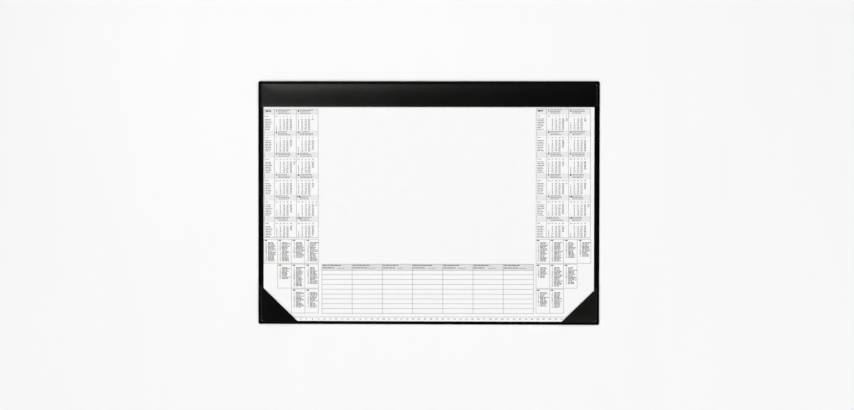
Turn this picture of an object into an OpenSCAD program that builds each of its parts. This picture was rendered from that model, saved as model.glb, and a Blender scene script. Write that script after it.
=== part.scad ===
// Desk pad calendar. A flat mat of two welded foils round a stiffening board
// carries a head band and two corner pockets, cut from the same foil and welded
// into the edge seam. They hold a pad of tear-off calendar sheets on a backing
// board, glued along its head. Millimetres, +Z up, head of the mat towards +Y,
// origin on the desk under the middle of the mat.

/* [Mat] */
// Width of the mat, left to right
mat_w = 575; // [480:1:700]
// Height of the mat, foot to head
mat_h = 410; // [340:1:520]
// Radius of the mat's corners
mat_corner_r = 3; // [2:0.5:8]
// Thickness of the foil that skins and pockets are cut from
foil_t = 0.4; // [0.3:0.05:0.6]
// Thickness of the stiffening board inside the mat
core_t = 1.6; // [1:0.1:2.5]
// Width of the weld seam round the edge of the mat
weld_w = 2; // [1.5:0.1:4]
// Distance that the mat's own shoulder stands inside the pocket shoulder
core_setback = 0.8; // [0.5:0.1:2]
// Clearance between the edge of the board and the foil round it
core_gap = 0.2; // [0.1:0.1:1]

/* [Pockets] */
// Height of the head band, from the head edge of the mat to its free edge
band_h = 43.5; // [30:0.5:80]
// Length of the left corner pocket along the foot of the mat
left_foot_leg = 72; // [45:1:110]
// Length of the left corner pocket along the side of the mat
left_side_leg = 70; // [45:1:110]
// Length of the right corner pocket along the foot of the mat
right_foot_leg = 69; // [45:1:110]
// Length of the right corner pocket along the side of the mat
right_side_leg = 67; // [45:1:110]
// Width of the shoulder where the foil rises from the seam to its full height
shoulder_w = 2.4; // [2:0.1:5]
// Headroom between the pad and the foil over it
headroom = 0.3; // [0.2:0.05:0.6]

/* [Pad] */
// Number of sheets in the pad
sheet_count = 25; // [10:1:40]
// Thickness of one sheet of paper
sheet_t = 0.1; // [0.08:0.01:0.15]
// Thickness of the backing board under the sheets
backing_t = 0.6; // [0.4:0.1:1.2]
// Thickness of the glue film along the head of the pad
glue_t = 0.5; // [0.3:0.1:1]
// Gap from the pocket shoulder to each side of the pad
side_gap = 4.8; // [0.5:0.1:8]
// Gap from the pocket shoulder to the foot of the pad
foot_gap = 1.2; // [0.4:0.1:3]
// Gap from the pocket shoulder to the head of the pad, for its travel
head_gap = 8; // [2:0.5:9]
// Distance from the free edge of the head band to the top sheet's fold
fold_gap = 10; // [9.5:0.5:25]

/* [Hidden] */
// Straight steps in a rounded corner and in a shoulder's curve
corner_steps = 6;
shoulder_steps = 6;

// The foil keeps its thickness on the slope if its underside starts further in
foil_lead = 0.6 * foil_t;
pocket_inset = weld_w + shoulder_w;
core_inset = pocket_inset + core_setback + foil_lead + core_gap;

// Heights of the layers, from the desk up
front_z = foil_t;
pocket_z = front_z + foil_t;
mat_top = front_z + core_t + foil_t;
sheets_z = mat_top + backing_t;
pad_top = sheets_z + sheet_count * sheet_t;
pocket_rise = pad_top + headroom - pocket_z;

// Edges of the pad and of the head band, seen from above
pad_w = mat_w - 2 * (pocket_inset + side_gap);
pad_foot = -mat_h / 2 + pocket_inset + foot_gap;
pad_head = mat_h / 2 - pocket_inset - head_gap;
paper_head = pad_head - glue_t;
band_edge = mat_h / 2 - band_h;
fold_y = band_edge - fold_gap;

function sheet_name(number) = str("sheet_", number < 10 ? "0" : "", number);

// One turn round the mat's outline at a given inset and height
function outline(inset, z) = [
    for (quarter = [0:3], step = [0:corner_steps])
        let (
            angle = 90 * (quarter + step / corner_steps),
            side_x = quarter == 0 || quarter == 3 ? 1 : -1,
            side_y = quarter < 2 ? 1 : -1
        )
        [
            side_x * (mat_w / 2 - inset - mat_corner_r) + mat_corner_r * cos(angle),
            side_y * (mat_h / 2 - inset - mat_corner_r) + mat_corner_r * sin(angle),
            z
        ]
];

// Smooth rise from 0 to 1, level at both ends
function ease(share) = share * share * (3 - 2 * share);

// A foil skin over the whole mat: a flat seam, a shoulder and a level top.
// Its outlines run from the top over the shoulder to the edge, then back below.
module foil_skin(shoulder_inset, seam_z, rise) {
    top_outlines = [
        for (step = [shoulder_steps:-1:0])
            let (share = step / shoulder_steps)
            outline(shoulder_inset + shoulder_w * share, seam_z + foil_t + rise * ease(share))
    ];
    edge_outlines = [outline(0, seam_z + foil_t), outline(0, seam_z)];
    under_outlines = [
        for (step = [0:shoulder_steps])
            let (share = step / shoulder_steps)
            outline(shoulder_inset + foil_lead + shoulder_w * share, seam_z + rise * ease(share))
    ];
    outlines = concat(top_outlines, edge_outlines, under_outlines);
    turn = len(outlines[0]);
    last = len(outlines) - 1;
    walls = [
        for (row = [0:last - 1], col = [0:turn - 1])
            let (next = (col + 1) % turn)
            [
                row * turn + col,
                row * turn + next,
                (row + 1) * turn + next,
                (row + 1) * turn + col
            ]
    ];
    top_face = [for (col = [turn - 1:-1:0]) col];
    under_face = [for (col = [0:turn - 1]) last * turn + col];
    polyhedron([for (row = outlines) each row], concat([top_face, under_face], walls));
}

// A flat board with the mat's rounded corners, set in from its edge
module board(inset, thickness) {
    w = mat_w - 2 * inset;
    h = mat_h - 2 * inset;
    linear_extrude(thickness)
        union() {
            square([w - 2 * mat_corner_r, h], center = true);
            square([w, h - 2 * mat_corner_r], center = true);
            for (side_x = [-1, 1], side_y = [-1, 1])
                translate([side_x * (w / 2 - mat_corner_r), side_y * (h / 2 - mat_corner_r)])
                    circle(r = mat_corner_r, $fn = 48);
        }
}

// A flat layer of the pad between two edges, as wide as the pad
module pad_layer(foot, head, z, thickness) {
    translate([-pad_w / 2, foot, z])
        cube([pad_w, head - foot, thickness]);
}

// The foil that pockets are cut from, standing over the pad
module pocket_foil() {
    foil_skin(weld_w, pocket_z, pocket_rise);
}

// Underside of the mat, which grips the desk
module back_foil() {
    color("black") board(0, foil_t);
}

// Stiffening board, sealed between the two foils
module core_board() {
    color("darkgray") translate([0, 0, front_z]) board(core_inset, core_t);
}

// Upper foil of the mat, drawn over the board and welded to the back foil
module front_foil() {
    color("black") foil_skin(weld_w + core_setback, front_z, core_t);
}

// Wide strip over the head of the pad, welded along three edges
module head_band() {
    color("black")
        intersection() {
            pocket_foil();
            translate([-mat_w, band_edge, 0]) cube([2 * mat_w, mat_h, 2 * pad_top]);
        }
}

// Triangle over a foot corner of the pad, welded along its two legs
module corner_pocket(side, foot_leg, side_leg) {
    color("black")
        intersection() {
            pocket_foil();
            linear_extrude(2 * pad_top)
                polygon([
                    [side * mat_w / 2, -mat_h / 2],
                    [side * mat_w / 2, -mat_h / 2 + side_leg],
                    [side * (mat_w / 2 - foot_leg), -mat_h / 2]
                ]);
        }
}

// Grey board that stiffens the pad from below
module backing_board() {
    color("tan") pad_layer(pad_foot, paper_head, mat_top, backing_t);
}

// Film of padding glue that binds the sheets and the board along the head
module glue_binding() {
    color("ivory") pad_layer(paper_head, pad_head, mat_top, pad_top - mat_top);
}

// One sheet of the pad, counted from the top, or the part of it between two edges
module sheet(number, foot = pad_foot, head = paper_head) {
    color("white") pad_layer(foot, head, pad_top - number * sheet_t, sheet_t);
}

// Part of the top sheet that stays bound under the head band
module top_sheet_head() {
    sheet(1, foot = fold_y);
}

// Part of the top sheet that folds up to be turned over or torn off
module top_sheet_leaf() {
    sheet(1, head = fold_y);
}

back_foil();
core_board();
front_foil();
head_band();
corner_pocket(-1, left_foot_leg, left_side_leg);  // left_corner_pocket
corner_pocket(1, right_foot_leg, right_side_leg);  // right_corner_pocket
backing_board();
glue_binding();
top_sheet_head();
top_sheet_leaf();
for (number = [2:sheet_count])
    sheet(number);
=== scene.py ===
# Desk pad calendar: a welded mat of black foil that holds a pad of printed tear-off sheets by a
# head band and two corner pockets. Metres, +Z up, head of the mat towards +Y.
import datetime
import math
import random

import bmesh
import bpy
from mathutils import Matrix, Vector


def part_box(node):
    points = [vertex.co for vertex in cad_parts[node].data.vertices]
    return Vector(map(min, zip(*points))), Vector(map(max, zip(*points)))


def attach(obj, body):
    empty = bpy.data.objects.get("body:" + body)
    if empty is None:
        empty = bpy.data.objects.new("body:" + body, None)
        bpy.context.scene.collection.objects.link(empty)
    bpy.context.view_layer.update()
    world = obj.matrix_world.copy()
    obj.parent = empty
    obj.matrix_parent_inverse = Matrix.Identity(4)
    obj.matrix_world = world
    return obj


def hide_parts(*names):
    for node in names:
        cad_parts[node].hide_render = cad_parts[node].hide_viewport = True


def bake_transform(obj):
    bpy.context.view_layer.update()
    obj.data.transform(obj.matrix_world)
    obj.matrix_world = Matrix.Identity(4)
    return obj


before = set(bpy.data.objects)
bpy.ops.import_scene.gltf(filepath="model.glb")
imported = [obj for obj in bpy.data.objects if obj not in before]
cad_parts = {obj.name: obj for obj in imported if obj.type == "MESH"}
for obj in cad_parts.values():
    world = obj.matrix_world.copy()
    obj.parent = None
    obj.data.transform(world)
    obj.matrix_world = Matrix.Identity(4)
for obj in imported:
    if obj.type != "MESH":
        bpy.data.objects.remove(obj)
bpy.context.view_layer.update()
scene = bpy.context.scene
scene.view_settings.view_transform = "Standard"


# Back foil: the underside of the mat, soft black foil with a coarse grain that grips the desk.
# It is cut to the same outline as the front foil and welded to it round the edge.
mm = 0.001


def place(tree, kind, inputs=None, **options):
    """Adds a node to a tree, sets its options, and fills or links its inputs."""
    node = tree.nodes.new(kind)
    for option, value in options.items():
        setattr(node, option, value)
    for socket, value in (inputs or {}).items():
        if isinstance(value, bpy.types.NodeSocket):
            tree.links.new(value, node.inputs[socket])
        else:
            node.inputs[socket].default_value = value
    return node


def reckon(tree, operation, *values):
    """Result of a math node over these numbers or sockets."""
    return place(tree, "ShaderNodeMath", dict(enumerate(values)), operation=operation).outputs[0]


def group_ends(tree, inputs, outputs):
    """Names the sockets of a group and adds its two end nodes."""
    for name, kind in inputs.items():
        tree.interface.new_socket(name, in_out="INPUT", socket_type="NodeSocket" + kind)
    for name, kind in outputs.items():
        tree.interface.new_socket(name, in_out="OUTPUT", socket_type="NodeSocket" + kind)
    return tree.nodes.new("NodeGroupInput").outputs, tree.nodes.new("NodeGroupOutput").inputs


def make_foil_grain():
    """Shader group: leather-like grain pressed into the foil, and the slow drift of its sheen."""
    tree = bpy.data.node_groups.new("foil_grain", "ShaderNodeTree")
    given, result = group_ends(
        tree,
        {"Place": "Vector", "Grains per Metre": "Float"},
        {"Height": "Float", "Drift": "Float"},
    )
    spot, grains = given["Place"], given["Grains per Metre"]
    sways_per_grain = 0.5
    pores_per_grain = 3.0
    pore_share = 0.35
    longest_sway = 0.6 * mm
    drifts_per_metre = 14.0
    sway_scale = reckon(tree, "MULTIPLY", grains, sways_per_grain)
    sway = place(tree, "ShaderNodeTexNoise", {"Vector": spot, "Scale": sway_scale})
    pull = place(
        tree, "ShaderNodeVectorMath", {0: sway.outputs["Color"], "Scale": longest_sway}, operation="SCALE"
    )
    pulled = place(tree, "ShaderNodeVectorMath", {0: spot, 1: pull.outputs[0]}, operation="ADD")
    pebbles = place(
        tree,
        "ShaderNodeTexVoronoi",
        {"Vector": pulled.outputs[0], "Scale": grains, "Smoothness": 0.4},
        feature="SMOOTH_F1",
    )
    pores = place(
        tree,
        "ShaderNodeTexNoise",
        {"Vector": spot, "Scale": reckon(tree, "MULTIPLY", grains, pores_per_grain), "Detail": 3.0},
    )
    crown = reckon(tree, "SUBTRACT", 1.0, pebbles.outputs["Distance"])
    fine = reckon(tree, "MULTIPLY", pores.outputs["Fac"], pore_share)
    tree.links.new(reckon(tree, "ADD", crown, fine), result["Height"])
    drift = place(tree, "ShaderNodeTexNoise", {"Vector": spot, "Scale": drifts_per_metre, "Detail": 4.0})
    tree.links.new(drift.outputs["Fac"], result["Drift"])
    return tree


foil_grain = make_foil_grain()


def foil_finish(name, grains, depth, gloss, dull, shine):
    """Black foil whose grain is a bump and whose roughness drifts between two values."""
    material = bpy.data.materials.new(name)
    material.use_nodes = True
    tree = material.node_tree
    shader = tree.nodes["Principled BSDF"]
    shader.inputs["Specular IOR Level"].default_value = shine
    shader.inputs["Specular Tint"].default_value = (1.0, 0.985, 0.945, 1)
    coords = place(tree, "ShaderNodeTexCoord")
    grain = place(tree, "ShaderNodeGroup", node_tree=foil_grain)
    grain.inputs["Grains per Metre"].default_value = grains
    tree.links.new(coords.outputs["Object"], grain.inputs["Place"])
    black = place(tree, "ShaderNodeValToRGB", {"Fac": grain.outputs["Height"]})
    black.color_ramp.elements[0].color = (0.0008, 0.0008, 0.0008, 1)
    black.color_ramp.elements[1].color = (0.0018, 0.0017, 0.0016, 1)
    sheen = place(
        tree,
        "ShaderNodeMapRange",
        {"Value": grain.outputs["Drift"], "From Min": 0.3, "From Max": 0.7},
    )
    sheen.inputs["To Min"].default_value = gloss
    sheen.inputs["To Max"].default_value = dull
    bump = place(
        tree,
        "ShaderNodeBump",
        {"Strength": 0.3, "Distance": depth, "Height": grain.outputs["Height"]},
    )
    tree.links.new(black.outputs["Color"], shader.inputs["Base Color"])
    tree.links.new(sheen.outputs["Result"], shader.inputs["Roughness"])
    tree.links.new(bump.outputs["Normal"], shader.inputs["Normal"])
    return material


def refinish(node, material):
    """Gives a CAD node that stays in the scene its finished material."""
    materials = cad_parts[node].data.materials
    materials.clear()
    materials.append(material)


grip_foil = foil_finish("grip_foil", grains=900.0, depth=0.1 * mm, gloss=0.5, dull=0.62, shine=0.3)
refinish("back_foil", grip_foil)


# Core board: a grey board of pressed waste paper, sealed between the two foils.
# It lies loose inside the welded edge and keeps the mat flat.
def make_fibres():
    """Shader group: the crossed fibres and flecks of paper and board."""
    tree = bpy.data.node_groups.new("fibres", "ShaderNodeTree")
    given, result = group_ends(
        tree,
        {"Place": "Vector", "Fibres per Metre": "Float"},
        {"Shade": "Float", "Height": "Float"},
    )
    spot, fibres = given["Place"], given["Fibres per Metre"]
    clouds_per_fibre = 0.06
    web_weight = 0.65
    strand_turns = (0.3, 1.9)
    strand_squeeze = 0.18
    layers = []
    for turn in strand_turns:
        lie = place(
            tree,
            "ShaderNodeMapping",
            {"Vector": spot, "Rotation": (0, 0, turn), "Scale": (1, strand_squeeze, 1)},
        )
        strands = place(
            tree, "ShaderNodeTexNoise", {"Vector": lie.outputs[0], "Scale": fibres, "Detail": 3.0}
        )
        layers.append(strands.outputs["Fac"])
    web = reckon(tree, "MULTIPLY", reckon(tree, "ADD", *layers), 0.5)
    cloud_scale = reckon(tree, "MULTIPLY", fibres, clouds_per_fibre)
    cloud = place(tree, "ShaderNodeTexNoise", {"Vector": spot, "Scale": cloud_scale})
    web_share = reckon(tree, "MULTIPLY", web, web_weight)
    mixed = reckon(tree, "MULTIPLY_ADD", cloud.outputs["Fac"], 1 - web_weight, web_share)
    spread = place(tree, "ShaderNodeMapRange", {"Value": mixed, "From Min": 0.35, "From Max": 0.65})
    tree.links.new(spread.outputs["Result"], result["Shade"])
    tree.links.new(web, result["Height"])
    return tree


fibres = make_fibres()


def fibre_finish(name, dark, light, fibre_count, depth, roughness, uv_map=None):
    """Paper, board or ink: two shades of one colour mixed by fibres that also roughen the surface."""
    material = bpy.data.materials.new(name)
    material.use_nodes = True
    tree = material.node_tree
    shader = tree.nodes["Principled BSDF"]
    shader.inputs["Roughness"].default_value = roughness
    if uv_map:
        spot = place(tree, "ShaderNodeUVMap", uv_map=uv_map).outputs["UV"]
    else:
        spot = place(tree, "ShaderNodeTexCoord").outputs["Object"]
    web = place(tree, "ShaderNodeGroup", node_tree=fibres)
    web.inputs["Fibres per Metre"].default_value = fibre_count
    tree.links.new(spot, web.inputs["Place"])
    colour = place(tree, "ShaderNodeValToRGB", {"Fac": web.outputs["Shade"]})
    colour.color_ramp.elements[0].color = (*dark, 1)
    colour.color_ramp.elements[1].color = (*light, 1)
    bump = place(
        tree,
        "ShaderNodeBump",
        {"Strength": 0.4, "Distance": depth, "Height": web.outputs["Height"]},
    )
    tree.links.new(colour.outputs["Color"], shader.inputs["Base Color"])
    tree.links.new(bump.outputs["Normal"], shader.inputs["Normal"])
    return material


grey_board = fibre_finish(
    "grey_board",
    dark=(0.24, 0.23, 0.21),
    light=(0.36, 0.35, 0.32),
    fibre_count=700.0,
    depth=0.08 * mm,
    roughness=0.9,
)
refinish("core_board", grey_board)


# Front foil: the mat's upper skin, smooth grained black foil drawn over the core board.
# A hot bar presses its edge into the back foil and leaves a shallow weld track round the mat.
# The foil turns matt where it is pressed and where it is drawn over the shoulder.
mat_low, mat_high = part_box("front_foil")
mat_w = mat_high.x - mat_low.x
mat_h = mat_high.y - mat_low.y
foil_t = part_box("back_foil")[1].z
seam_z = 2 * foil_t
corner_r = 3 * mm
weld_w = 2 * mm
shoulder_w = 2.4 * mm
core_setback = 0.8 * mm
pressed_past = 0.6 * mm
lip_w = 8 * mm
track_shares = (0.25, 0.35, 0.5, 0.65, 0.75)
crest_reaches = (0.6 * mm, 1.5 * mm, 3 * mm, 5 * mm, 7.5 * mm, 10.5 * mm, 14 * mm, 18 * mm)
waves_per_metre = 13.0
score_snap = 1e-7
crease_angle = math.radians(50)
foil_grains = 1300.0
black_foil = foil_finish(
    "black_foil", foil_grains, depth=0.04 * mm, gloss=0.235, dull=0.285, shine=0.3
)
pressed_foil = foil_finish(
    "pressed_foil", foil_grains, depth=0.03 * mm, gloss=0.3, dull=0.36, shine=0.03
)


def make_formed_foil():
    """Geometry tree: raises a flat blank from its welded edge over a shoulder, as heat forms it."""
    tree = bpy.data.node_groups.new("formed_foil", "GeometryNodeTree")
    sizes = ("Mat Width", "Mat Height", "Corner Reach", "Seam Height", "Rise", "Shoulder Start")
    sizes += ("Shoulder Width", "Crest Drop", "Crest Reach", "Crest Power", "Pressed Past Crest")
    sizes += ("Lip Lift", "Lip Width", "Ripple", "Side Stretch", "Track Depth", "Track Width")
    given, result = group_ends(
        tree,
        {
            "Blank": "Geometry",
            **{size: "Float" for size in sizes},
            "Foil": "Material",
            "Pressed Foil": "Material",
        },
        {"Foil Skin": "Geometry"},
    )
    spot = place(tree, "GeometryNodeInputPosition").outputs[0]
    axes = place(tree, "ShaderNodeSeparateXYZ", {0: spot}).outputs

    def gap(size, axis):
        half = reckon(tree, "MULTIPLY", given[size], 0.5)
        return reckon(tree, "SUBTRACT", half, reckon(tree, "ABSOLUTE", axes[axis]))

    side, end = gap("Mat Width", "X"), gap("Mat Height", "Y")
    inset = reckon(tree, "SMOOTH_MIN", side, end, given["Corner Reach"])
    past_start = reckon(tree, "SUBTRACT", side, given["Shoulder Start"])
    eased = reckon(tree, "DIVIDE", past_start, given["Side Stretch"])
    eased_side = reckon(tree, "MINIMUM", side, reckon(tree, "ADD", given["Shoulder Start"], eased))
    drawn = reckon(tree, "SMOOTH_MIN", eased_side, end, given["Corner Reach"])
    crest_start = reckon(tree, "ADD", given["Shoulder Start"], given["Shoulder Width"])
    climb = place(
        tree,
        "ShaderNodeMapRange",
        {"Value": drawn, "From Min": given["Shoulder Start"], "From Max": crest_start},
        interpolation_type="SMOOTHSTEP",
    ).outputs["Result"]
    past = reckon(tree, "MAXIMUM", reckon(tree, "SUBTRACT", drawn, crest_start), 0.0)
    fall = reckon(tree, "DIVIDE", past, given["Crest Reach"])
    fall = reckon(tree, "POWER", fall, given["Crest Power"])
    fade = reckon(tree, "EXPONENT", reckon(tree, "MULTIPLY", fall, -1.0))
    dip = reckon(tree, "MULTIPLY", given["Crest Drop"], fade)
    height = reckon(tree, "MULTIPLY", climb, reckon(tree, "SUBTRACT", given["Rise"], dip))
    free_edge = place(tree, "GeometryNodeInputNamedAttribute", {"Name": "free_edge"}, data_type="FLOAT")
    near_lip = place(
        tree,
        "ShaderNodeMapRange",
        {
            "Value": free_edge.outputs["Attribute"],
            "From Max": given["Lip Width"],
            "To Min": 1.0,
            "To Max": 0.0,
        },
    ).outputs["Result"]
    lip = reckon(tree, "MULTIPLY", reckon(tree, "MULTIPLY", near_lip, near_lip), given["Lip Lift"])
    waves = place(
        tree, "ShaderNodeTexNoise", {"Vector": spot, "Scale": waves_per_metre, "Detail": 1.0}
    ).outputs["Fac"]
    swell = reckon(tree, "MULTIPLY", reckon(tree, "SUBTRACT", waves, 0.5), given["Ripple"])
    swell = reckon(tree, "MULTIPLY", swell, climb)
    off_track = reckon(tree, "ABSOLUTE", reckon(tree, "SUBTRACT", inset, given["Track Width"]))
    track = place(
        tree,
        "ShaderNodeMapRange",
        {
            "Value": off_track,
            "From Max": reckon(tree, "MULTIPLY", given["Track Width"], 0.5),
            "To Min": given["Track Depth"],
            "To Max": 0.0,
        },
        interpolation_type="SMOOTHSTEP",
    ).outputs["Result"]
    total = reckon(tree, "ADD", given["Seam Height"], height)
    total = reckon(tree, "ADD", total, swell)
    total = reckon(tree, "ADD", total, reckon(tree, "MULTIPLY", lip, climb))
    total = reckon(tree, "SUBTRACT", total, track)
    offset = place(tree, "ShaderNodeCombineXYZ", {"Z": total}).outputs[0]
    formed = place(tree, "GeometryNodeSetPosition", {"Geometry": given["Blank"], "Offset": offset})
    whole = place(tree, "GeometryNodeRealizeInstances", {0: formed.outputs[0]})
    grained = place(
        tree, "GeometryNodeSetMaterial", {"Geometry": whole.outputs[0], "Material": given["Foil"]}
    )
    nearest = reckon(tree, "MINIMUM", side, end)
    pressed_end = reckon(tree, "ADD", crest_start, given["Pressed Past Crest"])
    pressed = place(
        tree,
        "GeometryNodeSetMaterial",
        {
            "Geometry": grained.outputs[0],
            "Selection": reckon(tree, "LESS_THAN", nearest, pressed_end),
            "Material": given["Pressed Foil"],
        },
    )
    tree.links.new(pressed.outputs[0], result["Foil Skin"])
    return tree


formed_foil = make_formed_foil()


def score(bm, point, across):
    """Cuts all the faces of a mesh along the line through point, square to across."""
    everything = bm.verts[:] + bm.edges[:] + bm.faces[:]
    bmesh.ops.bisect_plane(bm, geom=everything, dist=score_snap, plane_co=point, plane_no=across)


def cut_blank(name, outline, scores=(), z=0.0, free_edge=None):
    """Flat blank with this outline, scored along lines, that knows how far its free edge is."""
    bm = bmesh.new()
    bm.faces.new([bm.verts.new((x, y, z)) for x, y in outline])
    for point, across in scores:
        score(bm, point, across)
    mesh = bpy.data.meshes.new(name)
    bm.to_mesh(mesh)
    bm.free()
    far = mesh.attributes.new("free_edge", "FLOAT", "POINT")
    for vertex, entry in zip(mesh.vertices, far.data):
        entry.value = free_edge(vertex.co) if free_edge else mat_w
    return mesh


def make_piece(name, mesh, tree=None, inputs=None, wall_t=0.0):
    """Runs a geometry tree over a mesh, gives it a wall below, and keeps the result as a plain piece."""
    blank = bpy.data.objects.new(name + "_blank", mesh)
    scene.collection.objects.link(blank)
    if tree:
        shape = blank.modifiers.new("shape", "NODES")
        shape.node_group = tree
        for socket in tree.interface.items_tree:
            if socket.name in inputs:
                shape[socket.identifier] = inputs[socket.name]
    if wall_t:
        wall = blank.modifiers.new("wall", "SOLIDIFY")
        wall.thickness = wall_t
        wall.offset = -1
        wall.use_even_offset = True
    evaluated = blank.evaluated_get(bpy.context.evaluated_depsgraph_get())
    piece = bpy.data.objects.new(name, bpy.data.meshes.new_from_object(evaluated))
    scene.collection.objects.link(piece)
    bpy.data.objects.remove(blank)
    return piece


def corner_arc(quarter, steps=8):
    """Points of one rounded corner of the mat, anticlockwise, from quarter 0 at the right head corner."""
    middle_x = (mat_w / 2 - corner_r) * (1 if quarter in (0, 3) else -1)
    middle_y = (mat_h / 2 - corner_r) * (1 if quarter in (0, 1) else -1)
    angles = [math.pi / 2 * (quarter + step / steps) for step in range(steps + 1)]
    return [(middle_x + corner_r * math.cos(a), middle_y + corner_r * math.sin(a)) for a in angles]


def edge_insets(shoulder_start, stretch=1.0, steps=10):
    """Distances from the mat's edge where foil is scored: weld track, shoulder, crest, end of the matt."""
    track = [weld_w * share for share in track_shares]
    shoulder = [shoulder_start + shoulder_w * stretch * step / steps for step in range(steps + 1)]
    crest = [shoulder[-1] + reach for reach in crest_reaches]
    pressed_end = shoulder_start + shoulder_w + pressed_past
    return sorted([*track, *shoulder, *crest, pressed_end])


def upright(x):
    """A score from foot to head at x."""
    return (x, 0, 0), (1, 0, 0)


def level(y):
    """A score from side to side at y."""
    return (0, y, 0), (0, 1, 0)


def spaced(low, high, pitch):
    """Evenly spaced places between two ends, without the ends."""
    count = max(1, round((high - low) / pitch))
    return [low + (high - low) * step / count for step in range(1, count)]


def form_foil(name, blank, seam, rise, start, crest_drop, ripple, side_stretch):
    """Forms a foil blank into a finished skin that rides on the mat."""
    sizes = {
        "Mat Width": mat_w,
        "Mat Height": mat_h,
        "Corner Reach": 2 * corner_r,
        "Seam Height": seam,
        "Rise": rise,
        "Shoulder Start": start,
        "Shoulder Width": shoulder_w,
        "Crest Drop": crest_drop,
        "Crest Reach": 9.0 * mm,
        "Crest Power": 1.4,
        "Pressed Past Crest": pressed_past,
        "Lip Lift": 0.14 * mm,
        "Lip Width": lip_w,
        "Ripple": ripple,
        "Side Stretch": side_stretch,
        "Track Depth": 0.12 * mm,
        "Track Width": weld_w / 2,
        "Foil": black_foil,
        "Pressed Foil": pressed_foil,
    }
    skin = make_piece(name, blank, formed_foil, sizes, wall_t=foil_t)
    skin.data.shade_smooth()
    skin.data.set_sharp_from_angle(angle=crease_angle)
    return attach(skin, "mat")


mat_start = weld_w + core_setback
mat_insets = edge_insets(mat_start)
side_scores = [upright(side * (mat_w / 2 - inset)) for inset in mat_insets for side in (-1, 1)]
end_scores = [level(side * (mat_h / 2 - inset)) for inset in mat_insets for side in (-1, 1)]
mat_outline = [point for quarter in range(4) for point in corner_arc(quarter)]
front_blank = cut_blank("front_blank", mat_outline, side_scores + end_scores)
front_skin = form_foil(
    "front_foil_skin",
    front_blank,
    seam=seam_z,
    rise=mat_high.z - seam_z,
    start=mat_start,
    crest_drop=0.05 * mm,
    ripple=0.0,
    side_stretch=1.0,
)
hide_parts("front_foil")


# Head band and corner pockets: pieces of the same foil laid over the edge and welded with it.
# The pad's thickness lifts them over a rounded shoulder, and their free edges curl up by a hair.
band_low, band_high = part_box("head_band")
band_edge = band_low.y
pocket_seam = seam_z + foil_t
pocket_crown = 0.65 * mm
pocket_rise = band_high.z - pocket_seam + pocket_crown
lip_insets = [0.5 * mm, 1 * mm, 2 * mm, 3 * mm, 4 * mm, 5.5 * mm, 7 * mm, lip_w]
pocket_insets = edge_insets(weld_w)
side_stretch = 1.7
side_insets = edge_insets(weld_w, side_stretch)
score_pitch = 8 * mm


def form_pocket(name, blank):
    """A pocket foil, formed over the pad's edge."""
    return form_foil(
        name,
        blank,
        seam=pocket_seam,
        rise=pocket_rise,
        start=weld_w,
        crest_drop=0.7 * mm,
        ripple=0.2 * mm,
        side_stretch=side_stretch,
    )


band_outline = [(mat_w / 2, band_edge), *corner_arc(0), *corner_arc(1), (-mat_w / 2, band_edge)]
band_scores = [upright(side * (mat_w / 2 - inset)) for inset in side_insets for side in (-1, 1)]
band_reach = mat_w / 2 - side_insets[-1]
band_scores += [upright(x) for x in spaced(-band_reach, band_reach, score_pitch)]
band_scores += [level(mat_h / 2 - inset) for inset in pocket_insets]
band_scores += [level(band_edge + inset) for inset in lip_insets]
band_middle = spaced(band_edge + lip_w, mat_h / 2 - pocket_insets[-1], score_pitch)
band_scores += [level(y) for y in band_middle]
band_blank = cut_blank(
    "band_blank", band_outline, band_scores, free_edge=lambda spot: spot.y - band_edge
)
band_skin = form_pocket("head_band_skin", band_blank)
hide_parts("head_band")


def cut_corner(pocket, side, quarter):
    """Blank of a corner pocket: a triangle whose slanted edge stays free."""
    low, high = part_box(pocket)
    leg_x, leg_y = high.x - low.x, high.y - low.y
    slant_depth = leg_x * leg_y / math.hypot(leg_x, leg_y)
    corner_x, corner_y = side * mat_w / 2, -mat_h / 2
    ends = [(corner_x, corner_y + leg_y), (corner_x - side * leg_x, corner_y)]
    if side > 0:
        ends.reverse()

    def from_slant(spot):
        share = 1 - abs(corner_x - spot.x) / leg_x - (spot.y - corner_y) / leg_y
        return share * slant_depth

    insets_x = side_insets + spaced(side_insets[-1], leg_x, score_pitch)
    insets_y = pocket_insets + spaced(pocket_insets[-1], leg_y, score_pitch)
    scores = [upright(corner_x - side * inset) for inset in insets_x]
    scores += [level(corner_y + inset) for inset in insets_y]
    for inset in lip_insets:
        reach = leg_x * (1 - inset / slant_depth)
        scores.append(((corner_x - side * reach, corner_y, 0), (-side * leg_y, leg_x, 0)))
    outline = [ends[0], *corner_arc(quarter), ends[1]]
    return cut_blank(pocket + "_blank", outline, scores, free_edge=from_slant)


for side, quarter, hand in ((-1, 2, "left"), (1, 3, "right")):
    pocket = hand + "_corner_pocket"
    pocket_skin = form_pocket(pocket + "_skin", cut_corner(pocket, side, quarter))
    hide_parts(pocket)


# Backing board: thin grey board the size of the sheets, under the pad, where it keeps them from creasing.
# The padding glue holds it along the head with the sheets.
backing_grey = fibre_finish(
    "backing_grey",
    dark=(0.30, 0.28, 0.25),
    light=(0.42, 0.40, 0.36),
    fibre_count=900.0,
    depth=0.06 * mm,
    roughness=0.88,
)
refinish("backing_board", backing_grey)


# Glue binding: a brushed film of white padding glue along the head edges of sheets and board.
# It dries to a rubbery skin, so that single sheets tear off cleanly.
padding_glue = fibre_finish(
    "padding_glue",
    dark=(0.70, 0.68, 0.62),
    light=(0.82, 0.80, 0.74),
    fibre_count=300.0,
    depth=0.1 * mm,
    roughness=0.45,
)
refinish("glue_binding", padding_glue)


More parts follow.
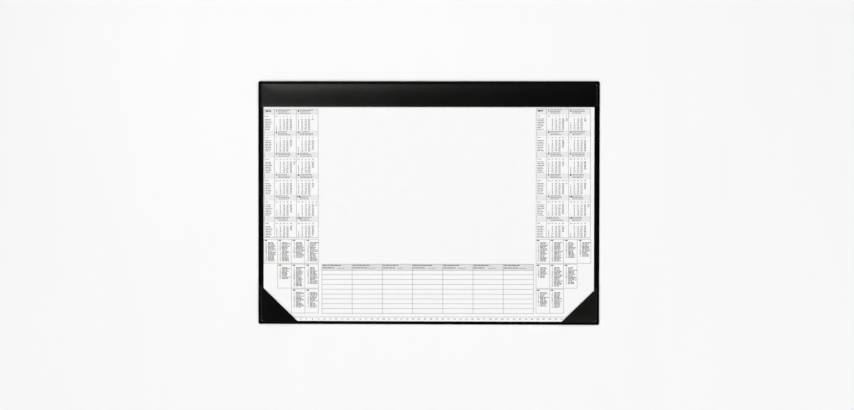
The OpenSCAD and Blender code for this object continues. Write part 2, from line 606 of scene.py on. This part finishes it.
# Sheets of the pad: white offset paper, cut to size in one stack, so that edges differ by a hair.
# The glue binds them along the head, and only the upper two ever show their print.
# A sheet takes up most of its place in the stack, and the rest is air.
sheet_uv = "sheet"
paper_fibres = 900.0
paper_depth = 0.02 * mm
paper_white = fibre_finish(
    "paper_white",
    dark=(0.925, 0.925, 0.92),
    light=(0.955, 0.955, 0.95),
    fibre_count=paper_fibres,
    depth=paper_depth,
    roughness=0.8,
    uv_map=sheet_uv,
)
paper_low, paper_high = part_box("sheet_02")
sheet_t = paper_high.z - paper_low.z
paper_share = 0.8
paper_t = paper_share * sheet_t
paper_cut = random.Random(7)
knife_stray = 0.04 * mm
sheet_setback = 0.2 * mm
edge_pitch = 24 * mm


def lay_uv(mesh):
    """Lays a map over a sheet or its print, in metres across the flat sheet."""
    layer = mesh.uv_layers.new(name=sheet_uv)
    for loop, entry in zip(mesh.loops, layer.data):
        entry.uv = mesh.vertices[loop.vertex_index].co.xy


def waver():
    """How far a knife strays from its line, a few hundredths of a millimetre."""
    return paper_cut.uniform(0, knife_stray)


def sheet_outline(low, high):
    """Outline of one cut sheet, whose edges waver and stand back by a hair from its neighbours'."""
    left = low.x + paper_cut.uniform(0, sheet_setback)
    right = high.x - paper_cut.uniform(0, sheet_setback)
    foot = low.y + paper_cut.uniform(0, sheet_setback)
    head = high.y
    across = [left, *spaced(left, right, edge_pitch)]
    up = [foot, *spaced(foot, head, edge_pitch)]
    edge = [(x, foot + waver()) for x in across]
    edge += [(right - waver(), y) for y in up]
    edge += [(x, head - waver()) for x in [right, *spaced(right, left, -edge_pitch)]]
    edge += [(left + waver(), y) for y in [head, *spaced(head, foot, -edge_pitch)]]
    return edge


def cut_sheet(name, low, high, scores=()):
    """One sheet of paper with its two faces and its cut edge."""
    blank = cut_blank(name, sheet_outline(low, high), scores, z=low.z + paper_t)
    sheet = make_piece(name, blank, wall_t=paper_t)
    lay_uv(sheet.data)
    sheet.data.materials.append(paper_white)
    return sheet


sheet_nodes = sorted(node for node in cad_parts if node.startswith("sheet_"))
for node in sheet_nodes:
    sheet = cut_sheet(node.replace("sheet", "paper"), *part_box(node))
    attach(sheet, "pad")
    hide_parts(node)


# Top sheet: the sheet in use, one piece of paper from the binding to the foot.
# It folds below the head band when it is lifted, so it is scored finely there.
head_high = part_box("top_sheet_head")[1]
leaf_low, leaf_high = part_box("top_sheet_leaf")
fold_y = leaf_high.y
fold_depth = 20 * mm
fold_pitch = 0.5 * mm
fold_scores = [level(fold_y), *(level(y) for y in spaced(fold_y, fold_y - fold_depth, -fold_pitch))]
fold_scores.append(level(fold_y - fold_depth))


def fold_up(piece):
    """Bakes the placing of a piece of the top sheet into its mesh."""
    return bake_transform(piece)


top_paper = cut_sheet("top_sheet_paper", leaf_low, head_high, fold_scores)
fold_up(top_paper)
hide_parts("top_sheet_head", "top_sheet_leaf")


# Printing ink: black offset ink, also thinned to a grey and screened to two pale tints.
# It lies on the paper as a thin film. Numbers are set as digits and words as plain bars.
ink_fibres = 1500.0
ink_roughening = 0.01 * mm
ink_black = fibre_finish(
    "ink_black",
    dark=(0.018, 0.018, 0.019),
    light=(0.035, 0.035, 0.037),
    fibre_count=ink_fibres,
    depth=ink_roughening,
    roughness=0.6,
    uv_map=sheet_uv,
)
ink_grey = fibre_finish(
    "ink_grey",
    dark=(0.15, 0.15, 0.152),
    light=(0.19, 0.19, 0.193),
    fibre_count=ink_fibres,
    depth=ink_roughening,
    roughness=0.7,
    uv_map=sheet_uv,
)
pale_tint = fibre_finish(
    "pale_tint",
    dark=(0.805, 0.805, 0.803),
    light=(0.84, 0.84, 0.838),
    fibre_count=paper_fibres,
    depth=paper_depth,
    roughness=0.8,
    uv_map=sheet_uv,
)
table_tint = fibre_finish(
    "table_tint",
    dark=(0.735, 0.735, 0.733),
    light=(0.77, 0.77, 0.768),
    fibre_count=paper_fibres,
    depth=paper_depth,
    roughness=0.8,
    uv_map=sheet_uv,
)
line_w = 0.52 * mm
digit_em = 0.73
digit_pitch = 0.86
word_gap = 0.7
shortest_word = 2.2
longest_word = 5.5
setting = random.Random(11)
digits = {"numbers": [], "bold_numbers": [], "fine_numbers": []}
bars = {"ink_black": [], "ink_grey": [], "pale_tint": [], "table_tint": []}


def set_bar(ink, left, foot, right, head):
    """A filled rectangle of one ink."""
    bars[ink].append(((left + right) / 2, (foot + head) / 2, right - left, head - foot))


def rule_grid(columns, lines):
    """Thin grey lines: uprights over the whole height, and level lines from upright to upright."""
    half = line_w / 2
    for x in columns:
        set_bar("ink_grey", x - half, min(lines) - half, x + half, max(lines) + half)
    for left, right in zip(columns, columns[1:]):
        for y in lines:
            set_bar("ink_grey", left + half, y - half, right - half, y + half)


def set_number(number, x, y, height, weight="numbers"):
    """A number whose middle stands at a point."""
    pitch = digit_pitch * height
    x -= pitch * (len(str(number)) - 1) / 2
    for step, digit in enumerate(str(number)):
        digits[weight].append((x + step * pitch, y, int(digit), height / digit_em))


def set_words(ink, x, y, length, height):
    """A line of words as bars of uneven length with narrow gaps."""
    end = x + length
    while x < end - height:
        word = min(setting.uniform(shortest_word, longest_word) * height, end - x)
        set_bar(ink, x, y - height / 2, x + word, y + height / 2)
        x += word + word_gap * height


# Year calendars: two years printed in black and grey, one along each side of the sheet.
# Each has six rows of two months, whose weeks are columns that start with Monday.
weekdays = 7
months = 12
calendar_head = 158.0 * mm
month_rows = 6
row_h = 36.05 * mm
header_h = 9.6 * mm
label_w = 17.4 * mm
label_margin = 2 * mm
label_h = 1.2 * mm
label_lengths = (7 * mm, 12 * mm)
month_w = 36.9 * mm
header_number_y = 2.9 * mm
year_x = 7.3 * mm
year_h = 2.8 * mm
month_x = 3.6 * mm
month_h = 3.0 * mm
month_name_x = 6.4 * mm
month_name_y = 1.9 * mm
month_name_pitch = 2.5 * mm
month_name_h = 1.05 * mm
month_name_lines = 3
month_name_lengths = (14 * mm, 22 * mm)
week_x = 3.7 * mm
week_pitch = 6.0 * mm
week_y = 12.1 * mm
week_h = 1.7 * mm
week_label_w = 6 * mm
week_label_h = 1.0 * mm
day_y = 17.0 * mm
day_pitch = 2.85 * mm
day_h = 2.1 * mm


def month_calendar(left, head, year, month):
    """One month: its number and names, week numbers, and a column of days for each week."""
    set_number(month, left + month_x, head - header_number_y, month_h, "bold_numbers")
    for line in range(month_name_lines):
        y = head - month_name_y - line * month_name_pitch
        length = setting.uniform(*month_name_lengths)
        set_words("ink_grey", left + month_name_x, y, length, month_name_h)
    day = datetime.date(year, month, 1)
    lead = day.weekday()
    while day.month == month:
        column, line = divmod(lead + day.day - 1, weekdays)
        x = left + week_x + column * week_pitch
        if line == 0 or day.day == 1:
            set_number(day.isocalendar()[1], x, head - week_y, week_h)
        set_number(day.day, x, head - day_y - line * day_pitch, day_h)
        day += datetime.timedelta(days=1)


def year_calendar(left, year):
    """Twelve months in rows of two, with the names of the weekdays beside each row."""
    columns = [left, left + label_w, left + label_w + month_w, left + label_w + 2 * month_w]
    day_labels = [setting.uniform(*label_lengths) for day in range(weekdays)]
    rule_grid(columns, [calendar_head, calendar_head - month_rows * row_h])
    for row in range(month_rows):
        head = calendar_head - row * row_h
        set_bar("pale_tint", left, head - header_h, columns[-1], head)
        set_words("ink_grey", left + label_margin, head - week_y, week_label_w, week_label_h)
        for day, length in enumerate(day_labels):
            set_words("ink_grey", left + label_margin, head - day_y - day * day_pitch, length, label_h)
    set_number(year, left + year_x, calendar_head - header_number_y, year_h, "bold_numbers")
    for month in range(1, months + 1):
        row, half = divmod(month - 1, 2)
        month_calendar(columns[1 + half], calendar_head - row * row_h, year, month)


year_calendar(left=-277.1 * mm, year=2016)
year_calendar(left=181.0 * mm, year=2017)


# Lists of days: framed lists of dates and names in black, printed below the year calendars.
# Their rows step back towards the middle of the sheet, so that the corner pockets cover none.
list_head = -61.0 * mm
list_pitch = 42.06 * mm
list_h = 40.5 * mm
list_w = 23.0 * mm
list_text_pitch = 23.55 * mm
list_line_y = 5.8 * mm
list_line_pitch = 2.05 * mm
list_word_x = 6.8 * mm
list_word_h = 1.08 * mm
shortest_entry = 6 * mm
longest_entry = 16 * mm
usual_entry = 11 * mm
longest_date_gap = 4
days_in_month = 31
date_x = 3.9 * mm
date_h = 1.5 * mm
caption_x = 1.4 * mm
caption_w = 4.2 * mm
caption_y = 1.1 * mm
caption_h = 1.7 * mm


def day_list(left, head, lines):
    """One list: a short bold caption, then dates and names line by line."""
    caption_left = left + caption_x
    caption_head = head - caption_y
    set_bar("ink_black", caption_left, caption_head - caption_h, caption_left + caption_w, caption_head)
    day = 0
    for line in range(lines):
        y = head - list_line_y - line * list_line_pitch
        day = (day + setting.randint(1, longest_date_gap)) % days_in_month + 1
        set_number(day, left + date_x, y, date_h)
        length = setting.triangular(shortest_entry, longest_entry, usual_entry)
        set_words("ink_black", left + list_word_x, y, length, list_word_h)


def framed_lists(left, rows_of_lines):
    """Rows of lists, each column of a row with its own count of lines."""
    for row, lines_by_column in enumerate(rows_of_lines):
        head = list_head - row * list_pitch
        first, last = min(lines_by_column), max(lines_by_column)
        rule_grid([left + edge * list_w for edge in range(first, last + 2)], [head, head - list_h])
        for column, lines in lines_by_column.items():
            day_list(left + column * list_text_pitch, head, lines)


framed_lists(
    left=-277.8 * mm,
    rows_of_lines=[{0: 16, 1: 16, 2: 13, 3: 16}, {1: 10, 2: 16, 3: 14}, {2: 13, 3: 13}],
)
framed_lists(
    left=180.9 * mm,
    rows_of_lines=[{0: 16, 1: 16, 2: 13, 3: 12}, {0: 9, 1: 16, 2: 14}, {0: 12, 1: 13}],
)


# Weekly table: seven columns for the days of the week, ruled in grey along the foot of the sheet.
# Its head has a tint and the names of the day in two lines, and its body has lines for notes.
# Each part of a name has an ink, a start, a drop, a height, and a shortest and a longest length.
table_left = -179.9 * mm
table_right = 176.7 * mm
table_head = -103.1 * mm
table_header_h = 10.3 * mm
first_note = -120.9 * mm
table_foot = -186.2 * mm
note_lines = 9
day_names = (
    ("ink_black", 1.2 * mm, 1.9 * mm, 1.3 * mm, 26 * mm, 33 * mm),
    ("ink_black", 1.2 * mm, 6.3 * mm, 1.3 * mm, 19 * mm, 24 * mm),
    ("ink_grey", 26 * mm, 6.8 * mm, 0.8 * mm, 10 * mm, 16 * mm),
)
body_head = table_head - table_header_h
note_pitch = (first_note - table_foot) / (note_lines - 1)
column_w = (table_right - table_left) / weekdays
table_columns = [table_left + column * column_w for column in range(weekdays + 1)]
set_bar("table_tint", table_left, body_head, table_right, table_head)
note_rules = [first_note - line * note_pitch for line in range(note_lines)]
rule_grid(table_columns, [table_head, body_head, *note_rules])
for x in table_columns[:-1]:
    for ink, start, drop, height, shortest, longest in day_names:
        set_words(ink, x + start, table_head - drop, setting.uniform(shortest, longest), height)


# Ruler: black ticks and numbers along the foot of the sheet, at true scale.
# It has a tick for each millimetre, longer ones at fives and tens, and a number for each centimetre.
ruler_zero = -276.1 * mm
ruler_head = -190.7 * mm
ruler_cm = 55
tick_w = 0.15 * mm
cm_tick = 3.6 * mm
half_tick = 3.4 * mm
mm_tick = 3.0 * mm
ruler_number_y = 4.9 * mm
ruler_number_h = 2.6 * mm
for tick in range(10 * ruler_cm + 1):
    length = cm_tick if tick % 10 == 0 else half_tick if tick % 5 == 0 else mm_tick
    x = ruler_zero + tick * mm
    set_bar("ink_black", x - tick_w / 2, ruler_head - length, x + tick_w / 2, ruler_head)
for number in range(ruler_cm + 1):
    x = ruler_zero + 10 * mm * number
    set_number(number, x, ruler_head - ruler_number_y, ruler_number_h, "fine_numbers")


# Printed sheets: the press lays the same marks on the top sheet and on the one below it.
# The print sits a hair askew on the paper, and it is scored at the fold like the top sheet.
ink_depth = 0.016 * mm
tint_depth = 0.008 * mm
print_skew = math.radians(0.12)
digit_curve_steps = 2
merge_gap = 1e-6
digit_weights = {"numbers": 0.058, "bold_numbers": 0.12, "fine_numbers": 0.012}


def make_numbers_tree():
    """Geometry tree: stamps a solid digit of the built-in type on each point, in the point's size.

    The join counts its last link first, so the digits go in backwards.
    """
    tree = bpy.data.node_groups.new("printed_numbers", "GeometryNodeTree")
    sizes = {"Weight": "Float", "Ink Depth": "Float", "Curve Steps": "Int"}
    given, result = group_ends(
        tree, {"Points": "Geometry", **sizes, "Ink": "Material"}, {"Numbers": "Geometry"}
    )
    outward = place(
        tree,
        "ShaderNodeVectorMath",
        {0: place(tree, "GeometryNodeInputNormal").outputs[0], "Scale": given["Weight"]},
        operation="SCALE",
    ).outputs[0]
    stamps = place(tree, "GeometryNodeJoinGeometry")
    for digit in "9876543210":
        typeset = place(tree, "GeometryNodeStringToCurves", {"String": digit, "Size": 1.0})
        loose = place(tree, "GeometryNodeRealizeInstances", {0: typeset.outputs[0]})
        coarse = place(
            tree,
            "GeometryNodeSetSplineResolution",
            {"Geometry": loose.outputs[0], "Resolution": given["Curve Steps"]},
        )
        bold = place(tree, "GeometryNodeSetPosition", {"Geometry": coarse.outputs[0], "Offset": outward})
        extent = place(tree, "GeometryNodeBoundBox", {0: bold.outputs[0]})
        corners = place(
            tree,
            "ShaderNodeVectorMath",
            {0: extent.outputs["Min"], 1: extent.outputs["Max"]},
            operation="ADD",
        )
        back = place(
            tree, "ShaderNodeVectorMath", {0: corners.outputs[0], "Scale": -0.5}, operation="SCALE"
        )
        centred = place(
            tree, "GeometryNodeTransform", {"Geometry": bold.outputs[0], "Translation": back.outputs[0]}
        )
        flat = place(tree, "GeometryNodeFillCurve", {"Curve": centred.outputs[0]}).outputs[0]
        raised = place(
            tree,
            "GeometryNodeExtrudeMesh",
            {"Mesh": flat, "Offset": (0, 0, 1), "Offset Scale": given["Ink Depth"], "Individual": False},
        )
        under = place(tree, "GeometryNodeFlipFaces", {0: flat})
        both = place(tree, "GeometryNodeJoinGeometry", {0: raised.outputs["Mesh"]})
        tree.links.new(under.outputs[0], both.inputs[0])
        closed = place(
            tree, "GeometryNodeMergeByDistance", {"Geometry": both.outputs[0], "Distance": merge_gap}
        )
        stamp = place(tree, "GeometryNodeGeometryToInstance", {0: closed.outputs[0]})
        tree.links.new(stamp.outputs[0], stamps.inputs[0])
    digit = place(tree, "GeometryNodeInputNamedAttribute", {"Name": "digit"}, data_type="INT").outputs[0]
    size = place(tree, "GeometryNodeInputNamedAttribute", {"Name": "size"}, data_type="FLOAT").outputs[0]
    scale = place(tree, "ShaderNodeCombineXYZ", {"X": size, "Y": size, "Z": 1.0}).outputs[0]
    stamped = place(
        tree,
        "GeometryNodeInstanceOnPoints",
        {
            "Points": given["Points"],
            "Instance": stamps.outputs[0],
            "Pick Instance": True,
            "Instance Index": digit,
            "Scale": scale,
        },
    )
    whole = place(tree, "GeometryNodeRealizeInstances", {0: stamped.outputs[0]})
    inked = place(tree, "GeometryNodeSetMaterial", {"Geometry": whole.outputs[0], "Material": given["Ink"]})
    tree.links.new(inked.outputs[0], result["Numbers"])
    return tree


def make_bars_tree():
    """Geometry tree: sets a flat block of ink on each point, in the point's own size."""
    tree = bpy.data.node_groups.new("printed_bars", "GeometryNodeTree")
    given, result = group_ends(
        tree, {"Points": "Geometry", "Ink Depth": "Float", "Ink": "Material"}, {"Bars": "Geometry"}
    )
    block = place(tree, "GeometryNodeMeshCube")
    lift = place(tree, "GeometryNodeTransform", {"Geometry": block.outputs[0], "Translation": (0, 0, 0.5)})
    extent = place(tree, "GeometryNodeInputNamedAttribute", {"Name": "extent"}, data_type="FLOAT_VECTOR")
    sides = place(tree, "ShaderNodeSeparateXYZ", {0: extent.outputs[0]}).outputs
    size = place(
        tree, "ShaderNodeCombineXYZ", {"X": sides["X"], "Y": sides["Y"], "Z": given["Ink Depth"]}
    ).outputs[0]
    stamped = place(
        tree,
        "GeometryNodeInstanceOnPoints",
        {"Points": given["Points"], "Instance": lift.outputs[0], "Scale": size},
    )
    whole = place(tree, "GeometryNodeRealizeInstances", {0: stamped.outputs[0]})
    inked = place(tree, "GeometryNodeSetMaterial", {"Geometry": whole.outputs[0], "Material": given["Ink"]})
    tree.links.new(inked.outputs[0], result["Bars"])
    return tree


numbers_tree = make_numbers_tree()
bars_tree = make_bars_tree()


def print_piece(name, points, attributes, tree, inputs):
    """Prints marks: points with attributes go in, inked shapes scored at the fold come out."""
    mesh = bpy.data.meshes.new(name)
    mesh.from_pydata(points, [], [])
    for attribute, kind, field, values in attributes:
        data = mesh.attributes.new(attribute, kind, "POINT").data
        for entry, value in zip(data, values):
            setattr(entry, field, value)
    piece = make_piece(name, mesh, tree, inputs)
    bm = bmesh.new()
    bm.from_mesh(piece.data)
    bmesh.ops.rotate(bm, verts=bm.verts, matrix=Matrix.Rotation(print_skew, 3, "Z"))
    for point, across in fold_scores:
        score(bm, point, across)
    bm.to_mesh(piece.data)
    bm.free()
    lay_uv(piece.data)
    return piece


def print_sheet(name, z):
    """All the print of one sheet, on paper whose upper face is at z."""
    pieces = []
    for kind, weight in digit_weights.items():
        pieces.append(
            print_piece(
                name + "_" + kind,
                [(x, y, z) for x, y, digit, size in digits[kind]],
                [
                    ("digit", "INT", "value", [digit for x, y, digit, size in digits[kind]]),
                    ("size", "FLOAT", "value", [size for x, y, digit, size in digits[kind]]),
                ],
                numbers_tree,
                {
                    "Curve Steps": digit_curve_steps,
                    "Weight": weight,
                    "Ink Depth": ink_depth,
                    "Ink": ink_black,
                },
            )
        )
    inks = (
        ("words", "ink_black", ink_black, ink_depth),
        ("lines", "ink_grey", ink_grey, ink_depth),
        ("pale_tints", "pale_tint", pale_tint, tint_depth),
        ("table_tint", "table_tint", table_tint, tint_depth),
    )
    for kind, ink, material, depth in inks:
        pieces.append(
            print_piece(
                name + "_" + kind,
                [(x, y, z) for x, y, w, h in bars[ink]],
                [("extent", "FLOAT_VECTOR", "vector", [(w, h, 1) for x, y, w, h in bars[ink]])],
                bars_tree,
                {"Ink Depth": depth, "Ink": material},
            )
        )
    return pieces


for printed in print_sheet("sheet_02", paper_low.z + paper_t):
    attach(printed, "pad")
for printed in print_sheet("top_sheet", leaf_low.z + paper_t):
    fold_up(printed)


# Studio: a white table, a soft lamp at the upper left that draws the sheen on the head band,
# a weak one at the lower right, four at the corners that even the light out, and a dim room.
floor_size = 9.0
floor_drop = 0.3 * mm
corner_lamp_w = 0.95


def make_floor():
    """White table under the mat."""
    bm = bmesh.new()
    bmesh.ops.create_grid(bm, x_segments=1, y_segments=1, size=floor_size / 2)
    bmesh.ops.translate(bm, verts=bm.verts, vec=(0, 0, -floor_drop))
    mesh = bpy.data.meshes.new("floor")
    bm.to_mesh(mesh)
    bm.free()
    table_white = fibre_finish(
        "table_white",
        dark=(0.955, 0.955, 0.955),
        light=(0.975, 0.975, 0.975),
        fibre_count=20.0,
        depth=0.01 * mm,
        roughness=0.9,
    )
    mesh.materials.append(table_white)
    floor = bpy.data.objects.new("floor", mesh)
    scene.collection.objects.link(floor)


def hang_lamp(name, location, width, power):
    """A square soft lamp that faces the middle of the mat."""
    data = bpy.data.lights.new(name, "AREA")
    data.size = width
    data.energy = power
    lamp = bpy.data.objects.new(name, data)
    lamp.location = location
    lamp.rotation_euler = lamp.location.to_track_quat("Z", "Y").to_euler()
    scene.collection.objects.link(lamp)


def make_room(horizon, zenith):
    """World light: dim near the horizon, fading to a dark zenith."""
    scene.world = bpy.data.worlds.new("studio")
    scene.world.use_nodes = True
    tree = scene.world.node_tree
    spot = place(tree, "ShaderNodeTexCoord").outputs["Generated"]
    up = place(tree, "ShaderNodeSeparateXYZ", {0: spot}).outputs["Z"]
    fall = place(
        tree,
        "ShaderNodeMapRange",
        {"Value": up, "From Min": 0.3, "From Max": 0.75, "To Min": horizon, "To Max": zenith},
        interpolation_type="SMOOTHSTEP",
    )
    tree.links.new(fall.outputs["Result"], tree.nodes["Background"].inputs["Color"])


make_floor()
make_room(horizon=0.15, zenith=0.02)
hang_lamp("key_lamp", (-0.44, 0.71, 1.4), width=0.7, power=7.25)
hang_lamp("low_lamp", (0.5, -0.55, 1.4), width=0.5, power=0.6)
hang_lamp("right_foot_lamp", (1.6, -1.4, 1.8), corner_lamp_w, power=26.6)
hang_lamp("left_foot_lamp", (-1.6, -1.4, 1.8), corner_lamp_w, power=29.2)
hang_lamp("right_head_lamp", (1.6, 1.4, 1.8), corner_lamp_w, power=22.9)
hang_lamp("left_head_lamp", (-1.6, 1.4, 1.8), corner_lamp_w, power=6.9)


# Camera: a long lens almost straight above the mat, slightly towards its upper right.
# Its place and its small turns are fitted to the edges of the mat in the photograph.
camera_data = bpy.data.cameras.new("camera")
camera_data.lens = 85
camera = bpy.data.objects.new("camera", camera_data)
camera.location = (79.7 * mm, 72.9 * mm, 3398.1 * mm)
camera.rotation_euler = [math.radians(angle) for angle in (-1.285, 1.391, 0.083)]
scene.collection.objects.link(camera)
scene.camera = camera
